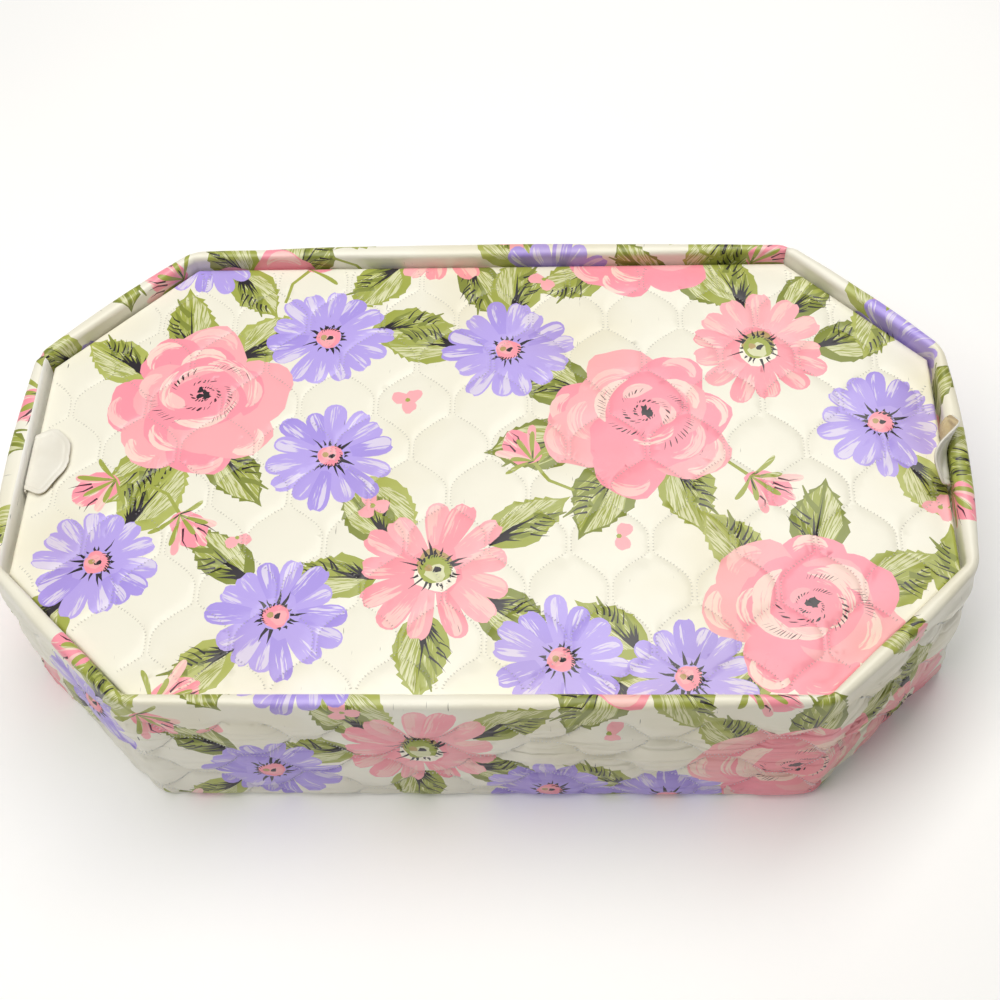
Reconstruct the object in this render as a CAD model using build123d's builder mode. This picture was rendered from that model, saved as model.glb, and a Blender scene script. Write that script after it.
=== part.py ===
from build123d import *
from math import cos, hypot, radians, sin
import os

os.makedirs("parts", exist_ok=True)

# Overall size, outside the padded rim
length = 406.0
width = 238.0
height = 90.0
corner_cut_x = 63.0
corner_cut_y = 62.0

# Sheets and boards
skin = 0.8
wadding = 1.2
card = 1.8
ledge_card = 3.6
lining = 0.4
tape = 0.2

# Rim roll and the wall below it
rim_overhang = 0.6
rim_height = 16.0
rim_slope = 4.0
turn_in = 20.0
turn_under = 14.0
bottom_radius = 1.7

# Base
base_cover_margin = 3.0
base_lining_gap = 0.2
tape_reach = 12.0

# Lid
lid_recess = 6.5
lid_side_clearance = 0.6
lid_corner_clearance = 0.8
lid_end_clearance = 1.3
lid_shift = 0.2
lid_seat_gap = 0.3
lid_edge_radius = 1.6
lid_turn_under = 12.0
lid_lining_margin = 1.0

# Pull tabs
tab_thickness = 0.8
tab_gap = 0.3
tab_root_width = 28.0
tab_tail = 16.0
tab_wide = 40.0
tab_wide_at = 7.0
tab_tip_width = 11.0
tab_length = 17.5
tab_corner_radius = 5.0
tab_tip_radius = 4.0
tab_straight = 8.0
tab_bend_radius = 9.0
tab_bend = 45.0

# Levels from the floor up
wall_face = rim_overhang
board_face = wall_face + skin + wadding
board_back = board_face + card
rim_thickness = board_back + skin
rim_radius = rim_thickness / 2
board_top = height - rim_radius
base_board_bottom = 2 * skin
base_board_top = base_board_bottom + card
lid_top = height - lid_recess
lid_board_top = lid_top - skin - wadding
lid_board_bottom = lid_board_top - card
lid_skin_bottom = lid_board_bottom - skin
lid_bottom = lid_skin_bottom - skin
ledge_top = lid_bottom - lid_seat_gap
ledge_back = rim_thickness + ledge_card
ledge_face = ledge_back + lining

# Lid edges, measured in from the outside of the rim
lid_end = rim_thickness + lid_end_clearance
lid_side = rim_thickness + lid_side_clearance
lid_corner = rim_thickness + lid_corner_clearance

walls = (
    "wall_board_left",
    "corner_board_front_left",
    "wall_board_front",
    "corner_board_front_right",
    "wall_board_right",
    "corner_board_back_right",
    "wall_board_back",
    "corner_board_back_left",
)
ledges = (
    "ledge_board_left",
    "ledge_board_front_left",
    "ledge_board_front",
    "ledge_board_front_right",
    "ledge_board_right",
    "ledge_board_back_right",
    "ledge_board_back",
    "ledge_board_back_left",
)


def octagon_points(ends, sides=None, corners=None):
    """Corners of the plan, moved in from the rim by a distance at the ends, sides and cut corners.

    They run anticlockwise from the back of the left end.
    """
    sides = ends if sides is None else sides
    corners = ends if corners is None else corners
    cut = hypot(corner_cut_x, corner_cut_y)
    nx = corner_cut_y / cut
    ny = corner_cut_x / cut
    x_end = length / 2 - ends
    y_side = width / 2 - sides
    x_cut = length / 2 - corner_cut_x - (corners - ny * sides) / nx
    y_cut = width / 2 - corner_cut_y - (corners - nx * ends) / ny
    return [
        (-x_end, y_cut),
        (-x_end, -y_cut),
        (-x_cut, -y_side),
        (x_cut, -y_side),
        (x_end, -y_cut),
        (x_end, y_cut),
        (x_cut, y_side),
        (-x_cut, y_side),
    ]


def octagon(ends, sides=None, corners=None, mode=Mode.ADD):
    Polygon(*octagon_points(ends, sides, corners), align=None, mode=mode)


def octagon_ring(outer, inner):
    octagon(outer)
    octagon(inner, mode=Mode.SUBTRACT)


def side_strip(side, outer, inner):
    """Plan of the board on one side, mitred to its neighbours."""
    out = octagon_points(outer)
    back = octagon_points(inner)
    after = (side + 1) % 8
    Polygon(out[side], out[after], back[after], back[side], align=None)


def lid_octagon(inset, mode=Mode.ADD):
    octagon(lid_end + inset, lid_side + inset, lid_corner + inset, mode=mode)


def lid_plane(level):
    return Plane(origin=(lid_shift, 0, level))


def save(piece, name):
    piece.part.label = name
    export_step(piece.part, f"parts/{name}.step")


# Rim and wall strips: a section swept round the plan
# The front strip runs from the left back corner round the front to the back right corner
plan = [Vector(x, y, 0) for x, y in octagon_points(0)]
seam_overrun = 60.0
strip_corners = {
    "front": [plan[0], plan[1], plan[2], plan[3], plan[4], plan[5], plan[6]],
    "back": [plan[6], plan[7], plan[0]],
}


def strip_path(corners):
    """The strip's line round the plan, run on past both seams."""
    first = (corners[0] - corners[1]).normalized() * seam_overrun + corners[0]
    last = (corners[-1] - corners[-2]).normalized() * seam_overrun + corners[-1]
    with BuildLine() as path:
        Polyline(first, *corners[1:-1], last)
    return path.line


def section_plane(path):
    """Section plane at the start of a strip: x runs inward, y runs up."""
    along = path % 0
    inward = Vector(0, 0, 1).cross(along)
    return Plane(origin=path @ 0, x_dir=inward, z_dir=along)


def seam_points():
    """Plan of the region that belongs to the back strip, bounded by the two mitred seams."""
    inner = [Vector(x, y, 0) for x, y in octagon_points(ledge_face)]
    left = (plan[0] - inner[0]).normalized() * seam_overrun
    right = (plan[6] - inner[6]).normalized() * seam_overrun
    points = [plan[0] + left, plan[0] - left, plan[6] - right, plan[6] + right]
    far_back = max(point.Y for point in points)
    points.append(Vector(points[0].X, far_back, 0))
    return [(point.X, point.Y) for point in points]


def keep_strip(side):
    """Trim the open part to its side of the seams."""
    with BuildSketch() as back_region:
        Polygon(*seam_points(), align=None)
    keep = Mode.INTERSECT if side == "back" else Mode.SUBTRACT
    extrude(back_region.sketch, amount=height, mode=keep)


def cover_section():
    """Vinyl skin: under the base, up the wall, over the rim roll and down inside."""
    roll = height - rim_radius
    slope_top = height - rim_height + rim_slope
    slope_bottom = height - rim_height
    corner = wall_face + bottom_radius
    with BuildLine() as outline:
        Line((wall_face + turn_under, skin), (corner, skin))
        TangentArc((corner, skin), (wall_face, skin + bottom_radius), tangent=(-1, 0))
        Polyline((wall_face, skin + bottom_radius), (wall_face, slope_bottom), (0, slope_top), (0, roll))
        ThreePointArc((0, roll), (rim_radius, height), (rim_thickness, roll))
        Polyline(
            (rim_thickness, roll),
            (rim_thickness, height - turn_in),
            (board_back, height - turn_in),
            (board_back, roll),
        )
        ThreePointArc((board_back, roll), (rim_radius, height - skin), (skin, roll))
        Polyline(
            (skin, roll),
            (skin, slope_top),
            (wall_face + skin, slope_bottom),
            (wall_face + skin, skin + bottom_radius),
        )
        TangentArc((wall_face + skin, skin + bottom_radius), (corner, 2 * skin), tangent=(0, -1))
        Polyline(
            (corner, 2 * skin),
            (wall_face + turn_under, 2 * skin),
            (wall_face + turn_under, skin),
        )
    make_face(outline.edges())


def wadding_section():
    """Wadding between the wall card and the skin, up to the rim padding."""
    corner = wall_face + bottom_radius
    slope_bottom = height - rim_height
    with BuildLine() as outline:
        TangentArc((corner, 2 * skin), (wall_face + skin, skin + bottom_radius), tangent=(-1, 0))
        Polyline(
            (wall_face + skin, skin + bottom_radius),
            (wall_face + skin, slope_bottom),
            (board_face, slope_bottom),
            (board_face, 2 * skin),
        )
        if board_face > corner:
            Line((board_face, 2 * skin), (corner, 2 * skin))
    make_face(outline.edges())


def padding_section():
    """Padding of the rim roll, over the top edge of the wall card."""
    slope_top = height - rim_height + rim_slope
    slope_bottom = height - rim_height
    with BuildLine() as outline:
        Polyline(
            (board_back, board_top),
            (board_face, board_top),
            (board_face, slope_bottom),
            (wall_face + skin, slope_bottom),
            (skin, slope_top),
            (skin, board_top),
        )
        ThreePointArc((skin, board_top), (rim_radius, height - skin), (board_back, board_top))
    make_face(outline.edges())


strip_sections = {
    "wall_cover": cover_section,
    "wall_wadding": wadding_section,
    "rim_padding": padding_section,
}
for piece_name, section in strip_sections.items():
    for strip_side, strip_line in strip_corners.items():
        line = strip_path(strip_line)
        with BuildPart() as strip:
            with BuildSketch(section_plane(line)):
                section()
            sweep(path=line, transition=Transition.RIGHT)
            keep_strip(strip_side)
        save(strip, f"{piece_name}_{strip_side}")

# Card walls, standing on the base board
for side, wall_name in enumerate(walls):
    with BuildPart() as wall:
        with BuildSketch(Plane.XY.offset(base_board_top)):
            side_strip(side, board_face, board_back)
        extrude(amount=board_top - base_board_top)
    save(wall, wall_name)

# Card strips inside the walls, which carry the lid
for side, ledge_name in enumerate(ledges):
    with BuildPart() as ledge:
        with BuildSketch(Plane.XY.offset(base_board_top)):
            side_strip(side, rim_thickness, ledge_back)
        extrude(amount=ledge_top - lining - base_board_top)
    save(ledge, ledge_name)

# Gummed paper tapes inside the eight corners
with BuildPart() as corner_tapes:
    tape_face = [Vector(x, y, 0) for x, y in octagon_points(board_back)]
    tape_back = [Vector(x, y, 0) for x, y in octagon_points(board_back + tape)]
    with BuildSketch(Plane.XY.offset(base_board_top)):
        for k in range(8):
            before = (tape_face[k - 1] - tape_face[k]).normalized() * tape_reach
            after = (tape_face[(k + 1) % 8] - tape_face[k]).normalized() * tape_reach
            outline = [
                tape_face[k] + before,
                tape_face[k],
                tape_face[k] + after,
                tape_back[k] + after,
                tape_back[k],
                tape_back[k] + before,
            ]
            Polygon(*[(point.X, point.Y) for point in outline], align=None)
    extrude(amount=height - turn_in - base_board_top)
save(corner_tapes, "corner_tapes")

with BuildPart() as base_board:
    with BuildSketch(Plane.XY.offset(base_board_bottom)):
        octagon(board_face)
    extrude(amount=card)
save(base_board, "base_board")

# Underside sheet, laid over the turned-under cover and drawn up inside it
with BuildPart() as base_cover:
    with BuildSketch():
        octagon(wall_face + base_cover_margin)
    extrude(amount=skin)
    with BuildSketch(Plane.XY.offset(skin)):
        octagon(wall_face + turn_under)
    extrude(amount=skin)
save(base_cover, "base_cover")

with BuildPart() as base_lining:
    with BuildSketch(Plane.XY.offset(base_board_top)):
        octagon(ledge_face + base_lining_gap)
    extrude(amount=skin)
save(base_lining, "base_lining")

with BuildPart() as wall_lining:
    with BuildSketch(Plane.XY.offset(base_board_top)):
        octagon_ring(ledge_back, ledge_face)
    extrude(amount=ledge_top - base_board_top)
    with BuildSketch(Plane.XY.offset(ledge_top - lining)):
        octagon_ring(rim_thickness, ledge_back)
    extrude(amount=lining)
save(wall_lining, "wall_lining")

# Lid: card and wadding wrapped in the quilted skin, with a lining sheet underneath
with BuildPart() as lid_board:
    with BuildSketch(lid_plane(lid_board_bottom)):
        lid_octagon(skin)
    extrude(amount=card)
save(lid_board, "lid_board")

with BuildPart() as lid_wadding:
    with BuildSketch(lid_plane(lid_board_top)):
        lid_octagon(skin)
    extrude(amount=wadding)
    fillet(lid_wadding.faces().sort_by(Axis.Z)[-1].edges(), radius=lid_edge_radius - skin)
save(lid_wadding, "lid_wadding")

with BuildPart() as lid_cover:
    with BuildSketch(lid_plane(lid_skin_bottom)):
        lid_octagon(0)
    extrude(amount=lid_top - lid_skin_bottom)
    fillet(lid_cover.faces().sort_by(Axis.Z)[-1].edges(), radius=lid_edge_radius)
    add(lid_board.part, mode=Mode.SUBTRACT)
    add(lid_wadding.part, mode=Mode.SUBTRACT)
    with BuildSketch(lid_plane(lid_skin_bottom)):
        lid_octagon(lid_turn_under)
    extrude(amount=skin, mode=Mode.SUBTRACT)
save(lid_cover, "lid_cover")

lid_half = length / 2 - lid_end
tail_offset = lid_half - tab_tail / 2

with BuildPart() as lid_lining:
    with BuildSketch(lid_plane(lid_bottom)):
        lid_octagon(lid_lining_margin)
        with Locations((tail_offset, 0), (-tail_offset, 0)):
            Rectangle(tab_tail, tab_root_width, mode=Mode.SUBTRACT)
    extrude(amount=skin)
    with BuildSketch(lid_plane(lid_skin_bottom)):
        lid_octagon(lid_turn_under)
    extrude(amount=skin)
save(lid_lining, "lid_lining")

# Pull tabs: a root fixed under the lid and up its end edge, and a tongue that folds at the top of it
fold_level = lid_top + tab_gap + tab_thickness / 2
fold_reach = lid_half + tab_thickness / 2

for end, sign in (("left", -1), ("right", 1)):
    edge = lid_shift + sign * lid_half
    outside = edge + sign * tab_thickness
    with BuildPart() as tab_root:
        with BuildSketch(Plane.XZ):
            with BuildLine():
                Polyline(
                    (edge - sign * tab_tail, lid_bottom),
                    (outside, lid_bottom),
                    (outside, lid_top),
                    (edge, lid_top),
                    (edge, lid_skin_bottom),
                    (edge - sign * tab_tail, lid_skin_bottom),
                    close=True,
                )
            make_face()
        extrude(amount=tab_root_width / 2, both=True)
    save(tab_root, f"{end}_tab_root")


def tongue_outline(reach):
    """Shield-shaped tongue, starting across the fold and running along +X."""
    with BuildLine() as outline:
        Polyline(
            (0, tab_root_width / 2),
            (tab_wide_at, tab_wide / 2),
            (reach, tab_tip_width / 2),
            (reach, -tab_tip_width / 2),
            (tab_wide_at, -tab_wide / 2),
            (0, -tab_root_width / 2),
            close=True,
        )
    tongue = make_face(outline.edges())
    fillet(tongue.vertices().filter_by_position(Axis.X, 1, tab_wide_at + 1), radius=tab_corner_radius)
    fillet(tongue.vertices().group_by(Axis.X)[-1], radius=tab_tip_radius)


# The left tongue lies folded flat on the lid
left_fold = lid_shift - fold_reach
with BuildPart() as left_pull_tab:
    with BuildSketch(Plane(origin=(left_fold, 0, fold_level - tab_thickness / 2))):
        tongue_outline(tab_length)
    extrude(amount=tab_thickness)
    with BuildSketch(Plane(origin=(left_fold, 0, fold_level), x_dir=(1, 0, 0), z_dir=(0, -1, 0))):
        Circle(tab_thickness / 2)
    extrude(amount=tab_root_width / 2, both=True)
save(left_pull_tab, "left_pull_tab")

# The right tongue stands up against the rim and leans out over it
right_fold = lid_shift + fold_reach
tab_end = tab_length - tab_straight - tab_bend_radius * radians(tab_bend)
tab_height = tab_straight + tab_bend_radius * sin(radians(tab_bend)) + tab_end * cos(radians(tab_bend))
with BuildPart() as right_pull_tab:
    with BuildLine(Plane(origin=(right_fold, 0, fold_level), x_dir=(1, 0, 0), z_dir=(0, -1, 0))) as curl:
        upright = Line((0, 0), (0, tab_straight))
        bend = JernArc(upright @ 1, upright % 1, tab_bend_radius, -tab_bend)
        Line(bend @ 1, bend @ 1 + tab_end * (bend % 1))
    with BuildSketch(Plane(origin=(right_fold, 0, fold_level))):
        Rectangle(tab_thickness, tab_wide)
    sweep(path=curl.line)
    with BuildSketch(Plane(origin=(right_fold, 0, fold_level), x_dir=(0, 0, 1), z_dir=(1, 0, 0))):
        tongue_outline(tab_height)
    extrude(amount=tab_length, both=True, mode=Mode.INTERSECT)
    with BuildSketch(Plane(origin=(right_fold, 0, fold_level), x_dir=(1, 0, 0), z_dir=(0, -1, 0))):
        Circle(tab_thickness / 2)
    extrude(amount=tab_root_width / 2, both=True)
save(right_pull_tab, "right_pull_tab")
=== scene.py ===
import math
import random
from functools import partial

import bpy
from mathutils import Matrix, Vector, noise
from mathutils.geometry import delaunay_2d_cdt


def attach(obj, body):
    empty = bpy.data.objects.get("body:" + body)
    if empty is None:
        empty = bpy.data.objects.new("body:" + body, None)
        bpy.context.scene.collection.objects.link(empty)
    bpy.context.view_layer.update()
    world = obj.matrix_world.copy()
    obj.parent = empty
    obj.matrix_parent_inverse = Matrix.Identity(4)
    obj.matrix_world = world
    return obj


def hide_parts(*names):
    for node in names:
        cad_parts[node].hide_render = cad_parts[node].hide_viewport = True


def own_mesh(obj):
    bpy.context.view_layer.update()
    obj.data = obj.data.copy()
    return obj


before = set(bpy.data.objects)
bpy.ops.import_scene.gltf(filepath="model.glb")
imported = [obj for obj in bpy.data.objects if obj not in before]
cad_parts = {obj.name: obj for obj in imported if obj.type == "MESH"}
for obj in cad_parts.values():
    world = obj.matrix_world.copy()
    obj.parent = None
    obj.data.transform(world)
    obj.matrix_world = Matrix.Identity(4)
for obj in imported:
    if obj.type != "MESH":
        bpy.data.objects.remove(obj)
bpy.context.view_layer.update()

mm = 0.001
print("card body loaded")

# The box as it was cut, in millimetres. An inset is measured inwards from the outside of the rim.
boxSizes = {
    "length": 406.0,
    "width": 238.0,
    "height": 90.0,
    "cornerCutX": 63.0,
    "cornerCutY": 62.0,
    "wallInset": 0.6,
    "lidEnds": 6.5,
    "lidSides": 5.8,
    "lidCorners": 6.0,
    "lidShift": 0.2,
    "lidTop": 83.5,
    "lidUnder": 78.1,
}


def octagonPoints(ends, sides=None, corners=None):  # anticlockwise from the back of the left end
    sides = ends if sides is None else sides
    corners = ends if corners is None else corners
    cutX, cutY = boxSizes["cornerCutX"], boxSizes["cornerCutY"]
    cut = math.hypot(cutX, cutY)
    endX = boxSizes["length"] / 2 - ends
    sideY = boxSizes["width"] / 2 - sides
    nearX = boxSizes["length"] / 2 - cutX - (corners - cutX / cut * sides) * cut / cutY
    nearY = boxSizes["width"] / 2 - cutY - (corners - cutY / cut * ends) * cut / cutX
    return [
        Vector(p)
        for p in (
            (-endX, nearY), (-endX, -nearY), (-nearX, -sideY), (nearX, -sideY),
            (endX, -nearY), (endX, nearY), (nearX, sideY), (-nearX, sideY),
        )
    ]


def ease(value):  # smooth step from 0 to 1
    value = min(1.0, max(0.0, value))
    return value * value * (3 - 2 * value)


# Materials

def linear(hexText):  # sRGB hex to the linear colour a shader takes
    channels = [int(hexText[i:i + 2], 16) / 255 for i in (1, 3, 5)]
    return tuple(c / 12.92 if c <= 0.04045 else ((c + 0.055) / 1.055) ** 2.4 for c in channels) + (1.0,)


def addNode(tree, kind, given=None):  # gives its outputs; a given socket is linked, anything else is set
    node = tree.nodes.new(kind)
    for key, value in (given or {}).items():
        if isinstance(value, bpy.types.NodeSocket):
            tree.links.new(value, node.inputs[key])
        elif isinstance(key, str) and hasattr(node, key):
            setattr(node, key, value)
        else:
            node.inputs[key].default_value = value
    return node.outputs


def addNoise(tree, vector, scale, detail=2.0, **more):
    return addNode(tree, "ShaderNodeTexNoise", {**more, "Scale": scale, "Detail": detail, "Vector": vector})


def addMapping(tree, vector, **more):
    return addNode(tree, "ShaderNodeMapping", {**more, "Vector": vector})[0]


def addMath(tree, operation, *values, clamp=False):
    given = {"operation": operation, "use_clamp": clamp, **dict(enumerate(values))}
    return addNode(tree, "ShaderNodeMath", given)[0]


def addRange(tree, value, low=0.0, high=1.0, start=0.0, end=1.0):
    given = {"From Min": low, "From Max": high, "To Min": start, "To Max": end, "Value": value}
    return addNode(tree, "ShaderNodeMapRange", given)[0]


def addMix(tree, share, first, second, blend="MIX"):
    given = {"data_type": "RGBA", "blend_type": blend, 0: share, 6: first, 7: second}
    return addNode(tree, "ShaderNodeMix", given)[2]


def addBump(tree, height, distance, strength, **more):
    given = {**more, "Distance": distance, "Strength": strength, "Height": height}
    return addNode(tree, "ShaderNodeBump", given)[0]


def addRamp(tree, value, *stops):  # two stops, each a place and its hex colour or grey level
    ramp = tree.nodes.new("ShaderNodeValToRGB")
    for element, (place, colour) in zip(ramp.color_ramp.elements, stops):
        element.position = place
        element.color = linear(colour) if isinstance(colour, str) else (colour, colour, colour, 1.0)
    tree.links.new(value, ramp.inputs[0])
    return ramp.outputs[0]


def newMaterial(name):
    made = bpy.data.materials.new(name)
    made.use_nodes = True
    made.node_tree.nodes.clear()
    return made, made.node_tree, addNode(made.node_tree, "ShaderNodeTexCoord")["Object"]


def finishMaterial(tree, surface):
    shader = addNode(tree, "ShaderNodeBsdfPrincipled", surface)
    addNode(tree, "ShaderNodeOutputMaterial", {"Surface": shader[0]})


vinylLook = {
    "yellowed": "#E9DDB4",  # where the ground has aged
    "ink": "#241F28",
    "streak": 1.05,  # one brush hair, mm
    "streakRun": 11.0,
    "grain": 0.55,  # the calendered grain is near 0.3 mm; drawn this coarse so that it shows
    "grainDepth": 0.00003,
    "slackScale": 70.0,  # soft unevenness, near 14 mm from one rise to the next
    "slackDepth": 0.0005,
    "roughness": (0.3, 0.46),
    "patchScale": 9.0,  # aged patches near 110 mm across
    "creaseScale": (13.0, 13.0, 105.0),  # creases about 75 mm long and 10 mm apart
    "creaseDepth": 0.0007,
    "creaseTop": (0.07, 0.077),  # they die out here, under the rim
}


def makePrintedVinyl(name, creased):
    # plasticised PVC sheet, calendered and printed: a soft waxy gloss that breaks up over a very fine grain
    look = vinylLook
    made, tree, place = newMaterial(name)
    base, light, tone = (addNode(tree, "ShaderNodeAttribute", {"attribute_name": key})["Color"]
                         for key in ("printBase", "printLight", "printTone"))
    amounts = addNode(tree, "ShaderNodeSeparateColor", {0: tone})
    brush = addNode(tree, "ShaderNodeUVMap", {"uv_map": "brush"})[0]
    hairs = addMapping(tree, brush, Scale=(1 / look["streak"], 1 / look["streakRun"], 1))
    streaks = addNoise(tree, hairs, 1.0, noise_dimensions="2D", Roughness=0.6)[0]
    shifted = addMapping(tree, hairs, Location=(53.7, 21.3, 0))
    dryBrush = addNoise(tree, shifted, 0.9, 1.5, noise_dimensions="2D")[0]

    def mask(texture, amount, hardness):  # more of the surface is covered as the amount goes from 0 to 1
        level = addMath(tree, "MULTIPLY_ADD", amount, 0.62, -0.81)
        return addMath(tree, "MULTIPLY", addMath(tree, "ADD", texture, level), hardness, clamp=True)

    patches = addNoise(tree, place, look["patchScale"], 3.0)[0]
    aged = addRamp(tree, patches, (0.5, 0.0), (0.72, 0.42))
    painted = addMix(tree, mask(streaks, amounts[0], 9.0), base, light)
    old = addMix(tree, aged, painted, linear(look["yellowed"]), "MULTIPLY")
    inked = addMix(tree, mask(dryBrush, amounts[1], 22.0), old, linear(look["ink"]))
    grain = addNoise(tree, place, 1000 / look["grain"])[0]
    slack = addNoise(tree, place, look["slackScale"])[0]
    relief = addBump(tree, grain, look["grainDepth"], 0.7)
    relief = addBump(tree, slack, look["slackDepth"], 0.35, Normal=relief)
    if creased:  # the wall sheet slackened and fell into long level creases below the rim
        folds = addNoise(tree, addMapping(tree, place, Scale=look["creaseScale"]), 1.0, 1.5)[0]
        apart = addMath(tree, "ABSOLUTE", addMath(tree, "SUBTRACT", folds, 0.5))
        opened = addRange(tree, apart, high=0.085, start=1.0, end=0.0)
        some = addRange(tree, patches, 0.3, 0.6)
        up = addNode(tree, "ShaderNodeSeparateXYZ", {0: place})[2]
        below = addRange(tree, up, *look["creaseTop"], 1.0, 0.0)
        depth = addMath(tree, "MULTIPLY", opened, addMath(tree, "MULTIPLY", some, below))
        relief = addBump(tree, depth, look["creaseDepth"], 0.9, invert=True, Normal=relief)
    finishMaterial(tree, {"IOR": 1.5, "Coat Weight": 0.12, "Coat Roughness": 0.18, "Base Color": inked,
                   "Roughness": addRange(tree, slack, 0.0, 1.0, *look["roughness"]), "Normal": relief})
    return made


def makeWhiteVinyl(name, deep, pale, roughness):
    # plain unprinted PVC sheet: milky white, a little glossy, faintly uneven where it was pressed
    made, tree, place = newMaterial(name)
    tint = addRamp(tree, addNoise(tree, place, 60.0, 3.0)[0], (0.35, deep), (0.7, pale))
    relief = addBump(tree, addNoise(tree, place, 1400.0)[0], 0.00004, 0.6)
    finishMaterial(tree, {"IOR": 1.5, "Roughness": roughness, "Base Color": tint, "Normal": relief})
    return made


fibrousLooks = {  # the fibre scale is per metre, low along the fibres
    "cotton_backing": {"dark": "#D9D3C4", "pale": "#EBE6D9", "fibre": "#F6F3EA", "cloud": 300.0,
                       "fibreScale": (1600.0, 900.0, 1600.0), "depth": 0.00008, "roughness": 0.9},
    # tan, darker than the cotton backing: painted shade for the right tab's inner face, which stands in
    # shadow
    "shade_tan_backing": {"dark": "#CDB98A", "pale": "#DCCB9F", "fibre": "#EADDB8", "cloud": 160.0,
                     "fibreScale": (1600.0, 900.0, 1600.0), "depth": 0.00008, "roughness": 0.9},
    "grey_board": {"dark": "#8E887C", "pale": "#A9A294", "fibre": "#C9C2B2", "cloud": 45.0,
                   "fibreScale": (420.0, 1500.0, 1500.0), "depth": 0.00006, "roughness": 0.88},
    "kraft_tape": {"dark": "#A67C4E", "pale": "#BC935F", "fibre": "#D8B98A", "cloud": 60.0,
                   "fibreScale": (1300.0, 1300.0, 300.0), "depth": 0.00003, "roughness": 0.58},
}


def makeFibrous(name):
    # woven cotton or pressed pulp: dull, with long pale fibres lying in the sheet
    look = fibrousLooks[name]
    made, tree, place = newMaterial(name)
    cloud = addNoise(tree, place, look["cloud"], 5.0, Roughness=0.62)
    tint = addRamp(tree, cloud[0], (0.32, look["dark"]), (0.68, look["pale"]))
    stretched = addMapping(tree, addMix(tree, 0.02, place, cloud["Color"]), Scale=look["fibreScale"])
    fibre = addNoise(tree, stretched, 1.0, 1.0)[0]
    flecks = addRamp(tree, fibre, (0.62, 0.0), (0.7, 0.55))
    finishMaterial(tree, {"IOR": 1.47, "Roughness": look["roughness"],
                   "Base Color": addMix(tree, flecks, tint, linear(look["fibre"])),
                   "Normal": addBump(tree, fibre, look["depth"], 0.6)})
    return made


def makePressedMark():
    # the same vinyl where the welding wheel pressed it: squeezed thin and shinier, its colour mixed towards
    # grey; on the walls the colour is first pushed towards white, a painted highlight on marks that lie in
    # shade
    made, tree, place = newMaterial("pressed_vinyl")
    under = addNode(tree, "ShaderNodeAttribute", {"attribute_name": "weldColour"})
    uneven = addRange(tree, addNoise(tree, place, 240.0, 1.0)[0], start=0.35, end=0.7)
    greyed = addMath(tree, "MULTIPLY", uneven, under["Alpha"])
    finishMaterial(tree, {"IOR": 1.5, "Roughness": 0.24,
                   "Base Color": addMix(tree, greyed, under["Color"], linear("#BDBCB4"))})
    return made


printedVinyl = makePrintedVinyl("printed_vinyl", False)
wallVinyl = makePrintedVinyl("printed_wall_vinyl", True)
pressedMark = makePressedMark()
whiteVinyl = makeWhiteVinyl("white_vinyl", "#E6E2D6", "#EFECE2", 0.36)
liningVinyl = makeWhiteVinyl("lining_vinyl", "#ECE8DA", "#F5F2E8", 0.48)
knitBacking, shadeTanBacking, greyBoard, kraftTape = (makeFibrous(name) for name in fibrousLooks)
print("materials made")


# The printed pattern: flowers drawn by rule, in millimetres on the flat sheet

printColours = {name: linear(colour) for name, colour in {
    "ground": "#F2EFE0",
    "lavender": "#B9A6F0", "lavenderPale": "#DFD6F1", "lavenderDeep": "#AC98EA",
    "rose": "#FC9BAC", "rosePale": "#FBC9C6", "roseSoft": "#FBB0B7", "blush": "#FADAD0",
    "daisyPink": "#FA9FAB", "daisyPale": "#FAC8C3",
    "leaf": "#A3AB4C", "leafPale": "#DCDDB2", "leafSoft": "#B2B95F", "leafDeep": "#848D3A",
    "leafBrown": "#BBA06A", "olive": "#A2AC4A", "cream": "#FBF3E2", "leftStripWhite": "#FBFAF5",
    "ink": "#262028", "plum": "#4A1F2E",
}.items()}


def beside(at, distance, angle):
    return at[0] + distance * math.cos(angle), at[1] + distance * math.sin(angle)


def turnedPoints(points, at, turn):
    c, s = math.cos(turn), math.sin(turn)
    return [Vector((at[0] + c * x - s * y, at[1] + s * x + c * y)) for x, y in points]


def patch(points, at, turn, base, light=None, kind="flat", size=1.0, pale=0.0, ink=0.0, seed=0):
    # one area of paint: its outline, its two colours, and how the brush ran across it
    brush = (kind, at[0], at[1], math.cos(turn), math.sin(turn), size, pale, ink, seed)
    return turnedPoints(points, at, turn), printColours[base], printColours[light or base], brush


def brushTones(brush, x, y):  # across the hairs, along them, how much pale paint, how much ink
    kind, centreX, centreY, c, s, size, pale, ink, seed = brush
    dx, dy = x - centreX, y - centreY
    along, across = dx * c + dy * s, dy * c - dx * s
    if kind == "petal":
        side = 0.62 + across / (0.3 * size)
        root = 1 - along / (0.62 * size)
        pale *= ease(side) * ease(along / (0.5 * size) - 0.4)
        return across + seed * 31, along + seed * 17, pale, ink * ease(root)
    if kind == "leaf":
        fan = math.atan2(across, along + 0.25 * size) * size
        return 1.3 * fan + seed * 31, math.hypot(across, along) + seed * 17, pale, ink
    if kind == "ring":
        radius = math.hypot(dx, dy)
        turnBy = abs(math.atan2(across, along)) * size
        edge = ease(1.6 * radius / size - 0.55)
        return radius + seed * 31, 0.8 * turnBy + seed * 17, pale * edge, ink * (1 - edge)
    return across + seed * 31, along + seed * 17, pale, ink


def lumpyOutline(radius, rng, lumps=0.07, count=26, stretch=1.0):
    phases = [rng.uniform(0, 6.3) for k in range(3)]
    points = []
    for k in range(count):
        a = math.tau * k / count
        r = radius * (1 + lumps * (math.sin(3 * a + phases[0]) + 0.6 * math.sin(5 * a + phases[1])
                                   + 0.3 * math.sin(9 * a + phases[2])))
        points.append((stretch * r * math.cos(a), r * math.sin(a)))
    return points


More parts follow.
